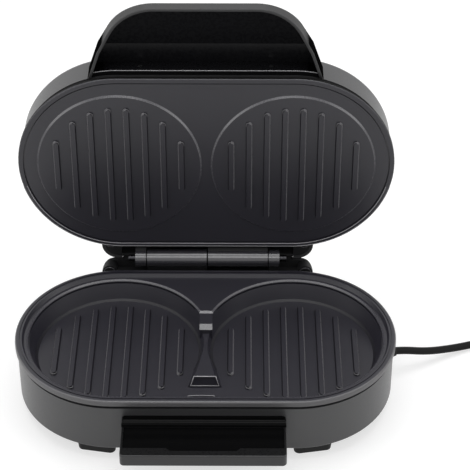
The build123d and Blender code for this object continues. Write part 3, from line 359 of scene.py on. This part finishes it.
# The lid's grip
GRIP_INNER_DEPTH = 6.6
GRIP_OUTER_DEPTH = 6.3
GRIP_FLOOR_DEPTH = 9.0
GRIP_STRIP_DEPTHS = (7.5, 9.0)
GRIP_TIP_UP = 85.0
FLANGE_UP = 76.0
STRIP_UP = 75.0
FLANGE_INNER_RADIUS = 71.0
# A side wall's normal.x times its x: below the first it looks inward, past the second outward.
LOOKS_INWARD = -10.0
LOOKS_OUTWARD = 8.0


def inside_lid_grip(centre, normal):
    """The hollow of the lid's grip: its back, its inner walls and the top of its flange."""
    depth, up = depth_and_up(centre)
    inner_side = normal.x * centre.x < LOOKS_INWARD and depth > GRIP_INNER_DEPTH
    inner_tip = normal.z < -0.3 and up > GRIP_TIP_UP and depth > GRIP_INNER_DEPTH
    floor = normal.y < -0.6 and depth > GRIP_FLOOR_DEPTH
    flange = normal.z > 0.3 and up < FLANGE_UP and off_spine(centre.x, up) > FLANGE_INNER_RADIUS
    return floor or inner_tip or inner_side or flange


def side_of_lid_grip(centre, normal):
    """The outer walls of the lid's grip, left and right."""
    depth, _ = depth_and_up(centre)
    return normal.x * centre.x > LOOKS_OUTWARD and depth > GRIP_OUTER_DEPTH


def strip_of_lid_grip(centre, normal):
    """The upright front of the grip's flange."""
    depth, up = depth_and_up(centre)
    return normal.y < -0.9 and inside(depth, GRIP_STRIP_DEPTHS) and up < STRIP_UP


# The base's grip
DISH_FLOOR_ZS = (34.5, 35.5)
DISH_WALL_ZS = (34.9, 36.0)
DISH_RIM_ZS = (35.5, 36.2)


def scoop_of_base_grip(centre, normal):
    """The dished top of the base's grip and its upright flange."""
    flange = centre.z > DISH_RIM_ZS[1] and (normal.y < -0.15 or normal.z > 0.5)
    return flange or (normal.z > 0.9 and inside(centre.z, DISH_FLOOR_ZS))


def rim_of_base_grip(centre, normal):
    """The flat frame around the dished top, and the dish's low walls."""
    flat = normal.z > 0.9 and inside(centre.z, DISH_RIM_ZS)
    return flat or (normal.z < 0.1 and inside(centre.z, DISH_WALL_ZS))


# The lower plate
RIM_RADIUS = 70.3
RIM_FOOT_Z = 49.7
SADDLE_HALF_WIDTH = 7.0
SADDLE_BACKS = (11.0, 28.0)
UPPER_BEVEL_ZS = (50.3, 51.4)
LOWER_BEVEL_RADIUS = 55.0
LOWER_BEVEL_Z = 38.0
LOWER_RIB_RADIUS = 52.0
LOWER_RIB_Z = 44.0
SLOPING = (0.5, 0.9)
STEEP = 0.8


def rim_of_lower_plate(centre, normal):
    """The lower plate's side and its rounded upper edge, which take a painted highlight."""
    outside = off_spine(centre.x, back_of(centre)) > RIM_RADIUS
    return outside and -0.5 < normal.z < 0.9 and centre.z > RIM_FOOT_Z


def saddle_slopes(centre, normal):
    """The two slopes of the saddle between the pans."""
    there = abs(centre.x) < SADDLE_HALF_WIDTH and inside(back_of(centre), SADDLE_BACKS)
    return there and inside(normal.z, SLOPING)


def upper_bevel(centre, normal):
    """The bevel around the pans' upper edge."""
    return 0.7 < normal.z < 0.9 and inside(centre.z, UPPER_BEVEL_ZS)


def lower_bevel(centre, normal):
    """The bevel where the pans' walls meet their floors."""
    there = from_centre(centre.x, back_of(centre)) > LOWER_BEVEL_RADIUS and centre.z < LOWER_BEVEL_Z
    return there and inside(normal.z, SLOPING)


def ribs_of_lower_plate(centre, normal):
    """The sloping sides of the ribs on the pan floors."""
    there = from_centre(centre.x, back_of(centre)) < LOWER_RIB_RADIUS and centre.z < LOWER_RIB_Z
    return there and abs(normal.z) < STEEP


# The upper plate
RAISED_DEPTH = 1.0
UPPER_RIB_RADIUS = 50.0
DISC_RADII = (57.0, 59.5)
SKIRT_RADIUS = 70.9


def ribs_of_upper_plate(centre, normal):
    """The sloping sides of the ribs on the raised discs."""
    depth, up = depth_and_up(centre)
    there = from_centre(centre.x, up) < UPPER_RIB_RADIUS and depth < RAISED_DEPTH
    return there and abs(normal.y) < STEEP


def outward(chosen):
    """The chosen faces that look away from the machine's middle, which take the painted highlight of the
    side light.
    """
    return lambda centre, normal: chosen(centre, normal) and normal.x * centre.x > 0


def discs_of_upper_plate(centre, normal):
    """The step around each raised disc."""
    depth, up = depth_and_up(centre)
    there = inside(from_centre(centre.x, up), DISC_RADII) and depth < RAISED_DEPTH
    return there and abs(normal.y) < 0.97


def skirt_of_upper_plate(centre, normal):
    """The upper plate's side, which faces the dark gap and takes its painted shade."""
    _, up = depth_and_up(centre)
    return off_spine(centre.x, up) > SKIRT_RADIUS and abs(normal.y) < 0.2


def foot_of_upper_plate(centre, normal):
    """The lower half of its rounded front edge, painted bright as a highlight where the lid meets the
    base.
    """
    _, up = depth_and_up(centre)
    edge = off_spine(centre.x, up) > RIM_RADIUS and 0.2 <= abs(normal.y) < 0.995
    return edge and normal.z < -0.25


# The hinge and the housing
BARRELS_REACH = 53.0
BARREL_RADIUS = 6.9
STEP_INSET = 1.5
STEP_Z = 30.0
HINGE_BLOCK_BACK = 66.0
HINGE_BLOCK_Z = 43.5
SHELL_EDGE_Z = 46.7
SHELL_EDGE_RADIUS = BASE_RADIUS + 0.1


def barrels(centre, normal):
    """The hinge's barrels, near its axis."""
    off_axis = math.hypot(centre.y - HINGE_Y, centre.z - HINGE_Z)
    return abs(centre.x) < BARRELS_REACH and off_axis < BARREL_RADIUS


def in_shadow_gap(centre, normal):
    """The step that carries the plate, the wall behind it and the whole hinge block's top, which take
    painted shade.
    """
    back = back_of(centre)
    radius = off_spine(centre.x, back)
    if radius < BASE_RADIUS - STEP_INSET:
        return centre.z > STEP_Z
    hinge = back > HINGE_BLOCK_BACK and centre.z > HINGE_BLOCK_Z
    return hinge and not (centre.z < SHELL_EDGE_Z and radius < SHELL_EDGE_RADIUS)


# Painted shade in the lid grip's hollow.
paint("lid_handle", GRIP_HOLLOW_SHADE, inside_lid_grip)
# Painted shade toward the foot of the grip's outer side walls.
paint("lid_handle", GRIP_SIDE_SHADE, side_of_lid_grip)
# Painted shade on the flange's front strip.
paint("lid_handle", GRIP_BAND_SHADE, strip_of_lid_grip)
# Glossy black with painted shade on the base grip's dish and flange.
paint("base_handle", GRIP_GLOSS_SHADE, scoop_of_base_grip)
# Painted shade on the base grip's flat frame.
paint("base_handle", GRIP_BAND_SHADE, rim_of_base_grip)
# Painted highlight on the lower plate's side and rounded edge.
paint("lower_plate", PLATE_SIDE_HIGHLIGHT, rim_of_lower_plate)
# Painted highlight on the saddle's slopes.
paint("lower_plate", EDGE_HIGHLIGHT, saddle_slopes)
# Painted highlight on the pans' upper bevel.
paint("lower_plate", DIM_HIGHLIGHT, upper_bevel)
# Painted shade on the bevel at the pans' floors.
paint("lower_plate", PLATE_SHADE, lower_bevel)
# Painted shade on the ribs' sides, then a painted highlight on their outward sides.
paint("lower_plate", PLATE_SHADE, ribs_of_lower_plate)
paint("lower_plate", RIB_HIGHLIGHT, outward(ribs_of_lower_plate))
# Painted shade on the discs' ribs' sides, then a painted highlight on their outward sides.
paint("upper_plate", PLATE_SHADE, ribs_of_upper_plate)
paint("upper_plate", RIB_HIGHLIGHT, outward(ribs_of_upper_plate))
# Painted highlight on the discs' steps.
paint("upper_plate", DIM_HIGHLIGHT, discs_of_upper_plate)
# Painted shade on the upper plate's side.
paint("upper_plate", GAP_SHADE, skirt_of_upper_plate)
# Painted highlight on the upper plate's lower edge.
paint("upper_plate", PLATE_HIGHLIGHT, foot_of_upper_plate)
paint("lid_frame", HINGE, barrels)
# Painted shade: the housing's step, wall and hinge block top take the frame's black.
paint("base_housing", FRAME, in_shadow_gap)
paint("base_housing", HINGE, barrels)


# ---------------------------------------------------------------- fine edges, most painted light as highlights, a few painted black as shade
FLANGE_EDGE_RADIUS = 73.4
FLANGE_EDGE_DEPTH = 8.1
FLANGE_EDGE_SINK = 0.1
FLANGE_EDGE_STEPS = 38
FLANGE_EDGE_STEP = 2.02
# Lines painted light as highlights along the upper plate's lower edge.
HIGHLIGHT_LINES = (("outer", 71.1, 0.25), ("inner", 68.6, 0.1))  # name, radius, depth
HIGHLIGHT_LINE_START_DEGREES = 195.0
HIGHLIGHT_LINE_STEP_DEGREES = 2.5
HIGHLIGHT_LINE_STEPS = 60
# x, back and height of the ridge front's right corners, and x and back along the bar before it
RIDGE_HEAD = (7.4, -34.4, 44.0)
RIDGE_FOOT = (9.8, -36.9, 37.7)
RIDGE_BAR = [(-11.6, -46.6), (-10.0, -45.9), (-2.4, -45.6), (5.5, -45.9), (7.2, -46.5)]
RIDGE_BAR_Z = 36.6
RIB_END_SWEEP_DEGREES = (-25, 205)
EAR_CUP = (71.0, 83.6, 64.5)
EAR_CUP_RADIUS = 3.35
STOP_FACE = (72.0, 74.1, 45.2)
STOP_RING_RADIUS = 4.0
SPACER_RADIUS = 5.4
CREST_END = (62.45, 84.7, 50.6)
CREST_TOP_Z = 52.0
# The beads' radii
FINE_BEAD = 0.3
RING_BEAD = 0.28
FLANGE_BEAD = 0.32
STOUT_BEAD = 0.4
FRAME_BEAD = 0.45
# Directions
RIGHT = Vector((1, 0, 0))
BACK = Vector((0, 1, 0))
UP = Vector((0, 0, 1))


def bead(name, points, radius, body, material, closed=False):
    """A thin rounded edge along points."""
    curve = bpy.data.curves.new(name, "CURVE")
    curve.dimensions = "3D"
    line = curve.splines.new("POLY")
    line.points.add(len(points) - 1)
    for place, (x, y, z) in zip(line.points, points):
        place.co = (x * MM, y * MM, z * MM, 1.0)
    line.use_cyclic_u = closed
    curve.bevel_depth = radius * MM
    curve.bevel_resolution = 3
    curve.use_fill_caps = True
    edge = bpy.data.objects.new(name, curve)
    bpy.context.scene.collection.objects.link(edge)
    curve.materials.append(material)
    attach(edge, body)


def mirrored(point, side):
    """A point given for the right side, on the side that is asked for: 1 is right, -1 is left."""
    return (side * point[0], *point[1:])


def make_flange_edge():
    """The front upper edge of the lid grip's flange, which follows the lid's outline, painted light as a
    highlight.
    """
    points = []
    for step in range(-FLANGE_EDGE_STEPS, FLANGE_EDGE_STEPS + 1):
        x = step * FLANGE_EDGE_STEP
        beyond = max(0.0, abs(x) - HALF_SPACING)
        up = math.sqrt(FLANGE_EDGE_RADIUS**2 - beyond**2) - FLANGE_EDGE_SINK
        points.append((x, LID_FACE_Y + FLANGE_EDGE_DEPTH, LID_CENTRE_Z + up))
    bead("lid_grip_flange_edge", points, FLANGE_BEAD, "lid", PLATE_HIGHLIGHT)


def make_upper_plate_edge():
    """The two lines along the upper plate's lower edge, where it meets the lower plate, painted light as
    highlights.
    """
    for name, radius, depth in HIGHLIGHT_LINES:
        points = []
        for step in range(HIGHLIGHT_LINE_STEPS + 1):
            angle = math.radians(HIGHLIGHT_LINE_START_DEGREES + HIGHLIGHT_LINE_STEP_DEGREES * step)
            x = radius * math.cos(angle) + math.copysign(HALF_SPACING, math.cos(angle))
            points.append((x, LID_FACE_Y + depth, LID_CENTRE_Z + radius * math.sin(angle)))
        bead(f"upper_plate_{name}_line", points, FINE_BEAD, "lid", PLATE_HIGHLIGHT)


def make_ridge_frame():
    """The raised border of the ridge's front end and the short bar in front of it, both painted light as
    highlights.
    """
    corners = [mirrored(RIDGE_HEAD, -1), RIDGE_HEAD, RIDGE_FOOT, mirrored(RIDGE_FOOT, -1)]
    points = [(x, back + PAN_CENTRE_Y, z) for x, back, z in corners]
    bead("ridge_frame_edge", points, FRAME_BEAD, "base", PLATE_HIGHLIGHT, closed=True)
    points = [(x, back + PAN_CENTRE_Y, RIDGE_BAR_Z) for x, back in RIDGE_BAR]
    bead("ridge_bar", points, STOUT_BEAD, "base", RIB_HIGHLIGHT)


def ring(centre, radius, across, up, sweep=(0, 360), steps=24):
    """Points along a circle, or part of one, that across and up span."""
    points = []
    start, end = sweep
    whole = end - start == 360
    for step in range(steps):
        angle = math.radians(start + (end - start) * step / (steps if whole else steps - 1))
        shift = across * radius * math.cos(angle) + up * radius * math.sin(angle)
        points.append(tuple(Vector(centre) + shift))
    return points


def make_rib_ends():
    """A rounded end bead at each rib's front end below, and at each rib's upper end above, painted light
    as a highlight.
    """
    radius = RIB_WIDTH / 2 - FINE_BEAD
    for side in (-1, 1):
        for number in range(RIB_COUNT):
            place = (number - (RIB_COUNT - 1) / 2) * RIB_PITCH
            x = side * HALF_SPACING + place
            reach = math.sqrt(RIB_REACH**2 - place**2) - RIB_WIDTH / 2
            front = (x, PAN_CENTRE_Y - reach, RIB_MIDDLE_Z)
            points = ring(front, radius, RIGHT, -BACK, RIB_END_SWEEP_DEGREES)
            bead(f"rib_end_below_{side}_{number}", points, FINE_BEAD, "base", EDGE_HIGHLIGHT)
            upper_reach = math.sqrt(UPPER_RIB_REACH**2 - place**2) - RIB_WIDTH / 2
            top = (x, UPPER_RIB_MIDDLE_Y, LID_CENTRE_Z + upper_reach)
            points = ring(top, radius, RIGHT, UP, RIB_END_SWEEP_DEGREES)
            bead(f"rib_end_above_{side}_{number}", points, FINE_BEAD, "lid", EDGE_HIGHLIGHT)


def make_hinge_rings():
    """The rims around the ear screws and the rings on the two stops, painted light as highlights, and the
    spacer between the barrels, painted black as the gap's shade.
    """
    for side in (-1, 1):
        ear = ring(mirrored(EAR_CUP, side), EAR_CUP_RADIUS, RIGHT, UP)
        bead(f"ear_recess_rim_{side}", ear, RING_BEAD, "lid", DIM_HIGHLIGHT, closed=True)
        stop = ring(mirrored(STOP_FACE, side), STOP_RING_RADIUS, RIGHT, UP)
        bead(f"stop_ring_{side}", stop, RING_BEAD, "base", DIM_HIGHLIGHT, closed=True)
    spacer = ring((0, HINGE_Y, HINGE_Z), SPACER_RADIUS, BACK, UP)
    bead("hinge_spacer", spacer, STOUT_BEAD, "base", GAP_SHADE, closed=True)


def make_crest_ends():
    """The rounded ends of the low wall behind the hinge, painted black as shade."""
    for side in (-1, 1):
        foot = mirrored(CREST_END, side)
        points = [foot, (*foot[:2], CREST_TOP_Z)]
        bead(f"hinge_crest_end_{side}", points, STOUT_BEAD, "base", GAP_SHADE)


make_flange_edge()
make_upper_plate_edge()
make_crest_ends()
make_ridge_frame()
make_rib_ends()
make_hinge_rings()


# ---------------------------------------------------------------- mains cord
# The route and the coil are given from the pans' centre line, and turns are counted from the coil's
# front. The cord's own diameter and length are in metres.
CORD_DIAMETER = 5.5 * MM
ROUTE = [
    (133.0, 21.9, 19.0),
    (141.0, 24.3, 18.0),
    (160.0, 31.6, 10.4),
    (181.0, 42.2, 4.6),
    (201.0, 50.6, 2.8),
    (222.0, 53.4, 2.8),
]
CORD_CLEARANCE = 0.05
COIL_CENTRE = (243.0, 88.0)
COIL_RADIUS = 35.4
COIL_INNER_RADIUS = 25.3
COIL_OUTER_RADIUS = 35.6  # of the second layer, at its end
COIL_RESTING_RADIUS = 30.5  # where the last turn rests on the second layer at first
PITCH = 5.5
TURN_POINTS = 16
WINDING_OUT = (2.2, 3.05)
LAYER_RISES = ((1.8, 2.2), (3.42, 3.68))
MOVE_INWARD = (3.52, 3.9)
LAST_ARC_CENTRE = (249.0, 78.0)
LAST_ARC_RADIUS = 24.0
LAST_ARC_SWING = (4.0, 4.12)
LAST_CLIMB = (3.9, 4.25)
END_TURN = 4.25
PLUG_TAIL = (273.0, 80.0, 19.15)
TIE_STEPS = 48
TIE_START = TURN_POINTS * 3 // 4  # the first point at the coil's left side
TIE_SECTION = ((2.8, -2.0), (3.6, -1.7), (3.6, 1.7), (2.8, 2.0))  # reach from a turn's middle, across


def ease(value, span):
    """0 before the span, 1 after it, and a smooth step between."""
    share = min(1.0, max(0.0, (value - span[0]) / (span[1] - span[0])))
    return share * share * (3 - 2 * share)


def low_radius(turn):
    """The coil's radius on its first layer, winding in, and on its second, winding out."""
    if turn < LAYER_RISES[0][0]:
        return max(COIL_INNER_RADIUS, COIL_RADIUS - PITCH * turn)
    share = min(1.0, max(0.0, (turn - WINDING_OUT[0]) / (WINDING_OUT[1] - WINDING_OUT[0])))
    return COIL_INNER_RADIUS + (COIL_OUTER_RADIUS - COIL_INNER_RADIUS) * share


def coil_points():
    """Turns winding in on the ground, out on top of them, and a last one on those to the plug's tail."""
    points = []
    swell = 1 / math.cos(math.pi / TURN_POINTS)
    ground = CORD_DIAMETER / MM / 2 + CORD_CLEARANCE
    for step in range(int(TURN_POINTS * END_TURN) + 1):
        turn = step / TURN_POINTS
        radius = low_radius(turn)
        below = max(low_radius(turn - 1), COIL_RESTING_RADIUS)
        radius += (below - radius) * ease(turn, MOVE_INWARD)
        swing = ease(turn, LAST_ARC_SWING)
        radius += (LAST_ARC_RADIUS - radius) * swing
        x = COIL_CENTRE[0] + (LAST_ARC_CENTRE[0] - COIL_CENTRE[0]) * swing
        back = COIL_CENTRE[1] + (LAST_ARC_CENTRE[1] - COIL_CENTRE[1]) * swing
        height = ground + PITCH * sum(ease(turn, rise) for rise in LAYER_RISES)
        height += (PLUG_TAIL[2] - ground - 2 * PITCH) * ease(turn, LAST_CLIMB)
        angle = -math.pi / 2 + turn * 2 * math.pi
        x += radius * swell * math.cos(angle)
        back += radius * swell * math.sin(angle)
        points.append((x, back, height))
    return points


def in_frame(point):
    """A point given from the pans' centre line, in the row frame's metres."""
    x, back, height = point
    return Vector((x * MM, (back + PAN_CENTRE_Y) * MM, height * MM))


def make_cord():
    """One smooth line from the bushing to the plug, and its sheath."""
    points = [in_frame(point) for point in ROUTE + coil_points() + [PLUG_TAIL]]
    curve = bpy.data.curves.new("mains_cord", "CURVE")
    curve.dimensions = "3D"
    line = curve.splines.new("NURBS")
    line.points.add(len(points) - 1)
    for place, point in zip(line.points, points):
        place.co = (*point, 1.0)
    line.order_u = 3
    line.use_endpoint_u = True
    curve.resolution_u = 8
    curve.bevel_depth = CORD_DIAMETER / 2
    curve.bevel_resolution = 6
    curve.use_fill_caps = True
    cord = bpy.data.objects.new("mains_cord", curve)
    bpy.context.scene.collection.objects.link(cord)
    curve.materials.append(SHEATH)
    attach(cord, "base")
    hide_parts("cord", "cord_coil")


def make_cord_tie():
    """A narrow strap around the bundle at the coil's left side, drawn tight."""
    middles = [(x, height) for x, _, height in coil_points()[TIE_START::TURN_POINTS]]
    builder = bmesh.new()
    loops = []
    for step in range(TIE_STEPS):
        angle = 2 * math.pi * step / TIE_STEPS
        away = (math.cos(angle), math.sin(angle))
        x, height = max(middles, key=lambda place: place[0] * away[0] + place[1] * away[1])
        corners = []
        for reach, across in TIE_SECTION:
            low = max(CORD_CLEARANCE, height + reach * away[1])
            point = in_frame((x + reach * away[0], COIL_CENTRE[1] + across, low))
            corners.append(builder.verts.new(point))
        loops.append(corners)
    for here, after in zip(loops, loops[1:] + loops[:1]):
        for side in range(len(TIE_SECTION)):
            following = (side + 1) % len(TIE_SECTION)
            builder.faces.new((here[side], here[following], after[following], after[side]))
    bmesh.ops.recalc_face_normals(builder, faces=builder.faces)
    mesh = bpy.data.meshes.new("cord_tie")
    builder.to_mesh(mesh)
    builder.free()
    tie = bpy.data.objects.new("cord_tie", mesh)
    bpy.context.scene.collection.objects.link(tie)
    mesh.materials.append(RUBBER)
    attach(tie, "base")


make_cord()
make_cord_tie()


# ---------------------------------------------------------------- studio, in metres
FLOOR_REACH = 12.0
FLOOR_DROP = 0.0002
FLOOR_COLOUR = (0.5, 0.5, 0.5, 1)
FLOOR_GLOW = 0.62
SOFT_FILL = 0.45


def seen_share(tree):
    """1 for camera, glossy and transmission rays, 0 for the rays that carry light."""
    path = tree.nodes.new("ShaderNodeLightPath")
    total = path.outputs["Is Camera Ray"]
    for name in ("Is Glossy Ray", "Is Transmission Ray"):
        join = tree.nodes.new("ShaderNodeMath")
        join.operation = "MAXIMUM"
        tree.links.new(total, join.inputs[0])
        tree.links.new(path.outputs[name], join.inputs[1])
        total = join.outputs[0]
    return total


def floor_material():
    """A pale diffuse floor that glows a little where it is seen, so that it turns white."""
    material, tree, shader = new_material("floor_pale")
    tree.nodes.remove(shader)
    output = tree.nodes["Material Output"]
    diffuse = tree.nodes.new("ShaderNodeBsdfDiffuse")
    diffuse.inputs["Color"].default_value = FLOOR_COLOUR
    glow = tree.nodes.new("ShaderNodeEmission")
    scale = tree.nodes.new("ShaderNodeMath")
    scale.operation = "MULTIPLY"
    scale.inputs[1].default_value = FLOOR_GLOW
    tree.links.new(seen_share(tree), scale.inputs[0])
    tree.links.new(scale.outputs[0], glow.inputs["Strength"])
    both = tree.nodes.new("ShaderNodeAddShader")
    tree.links.new(diffuse.outputs[0], both.inputs[0])
    tree.links.new(glow.outputs[0], both.inputs[1])
    tree.links.new(both.outputs[0], output.inputs["Surface"])
    return material


def make_floor():
    """A plain pale floor that runs far behind the object and keeps its shadow."""
    mesh = bpy.data.meshes.new("floor")
    builder = bmesh.new()
    bmesh.ops.create_grid(builder, x_segments=1, y_segments=1, size=FLOOR_REACH)
    builder.to_mesh(mesh)
    builder.free()
    floor = bpy.data.objects.new("floor", mesh)
    bpy.context.scene.collection.objects.link(floor)
    floor.location = (0, 0, -FLOOR_DROP)
    mesh.materials.append(floor_material())


def make_world():
    """White for the camera and for reflections, and a soft fill for everything else."""
    world = bpy.data.worlds.new("studio")
    bpy.context.scene.world = world
    world.use_nodes = True
    tree = world.node_tree
    background = tree.nodes["Background"]
    background.inputs["Color"].default_value = (1, 1, 1, 1)
    strength = between(tree, seen_share(tree), SOFT_FILL, 1.0, 0.0, 1.0)
    tree.links.new(strength, background.inputs["Strength"])


def softbox(name, place, target, width, height, watts, only_gloss=False):
    """A rectangular lamp that faces its target, and may light the glossy share alone."""
    lamp = bpy.data.lights.new(name, "AREA")
    lamp.shape = "RECTANGLE"
    lamp.size = width
    lamp.size_y = height
    lamp.energy = watts
    holder = bpy.data.objects.new(name, lamp)
    bpy.context.scene.collection.objects.link(holder)
    holder.location = place
    aim = Vector(target) - Vector(place)
    holder.rotation_euler = aim.to_track_quat("-Z", "Y").to_euler()
    holder.visible_diffuse = not only_gloss


make_floor()
make_world()
softbox("top_light", (0.0, 0.15, 1.5), (0, 0, 0.05), 1.4, 1.0, 12.0)
softbox("left_light", (-1.3, -0.35, 0.75), (0, 0, 0.1), 0.8, 1.1, 4.0)
softbox("front_light", (0.0, -1.0, 1.35), (0, 0, 0.05), 0.9, 0.35, 4.0, only_gloss=True)
softbox("right_light", (1.3, -0.35, 0.75), (0, 0, 0.1), 0.8, 1.1, 4.0)
bpy.context.scene.view_settings.view_transform = "Standard"
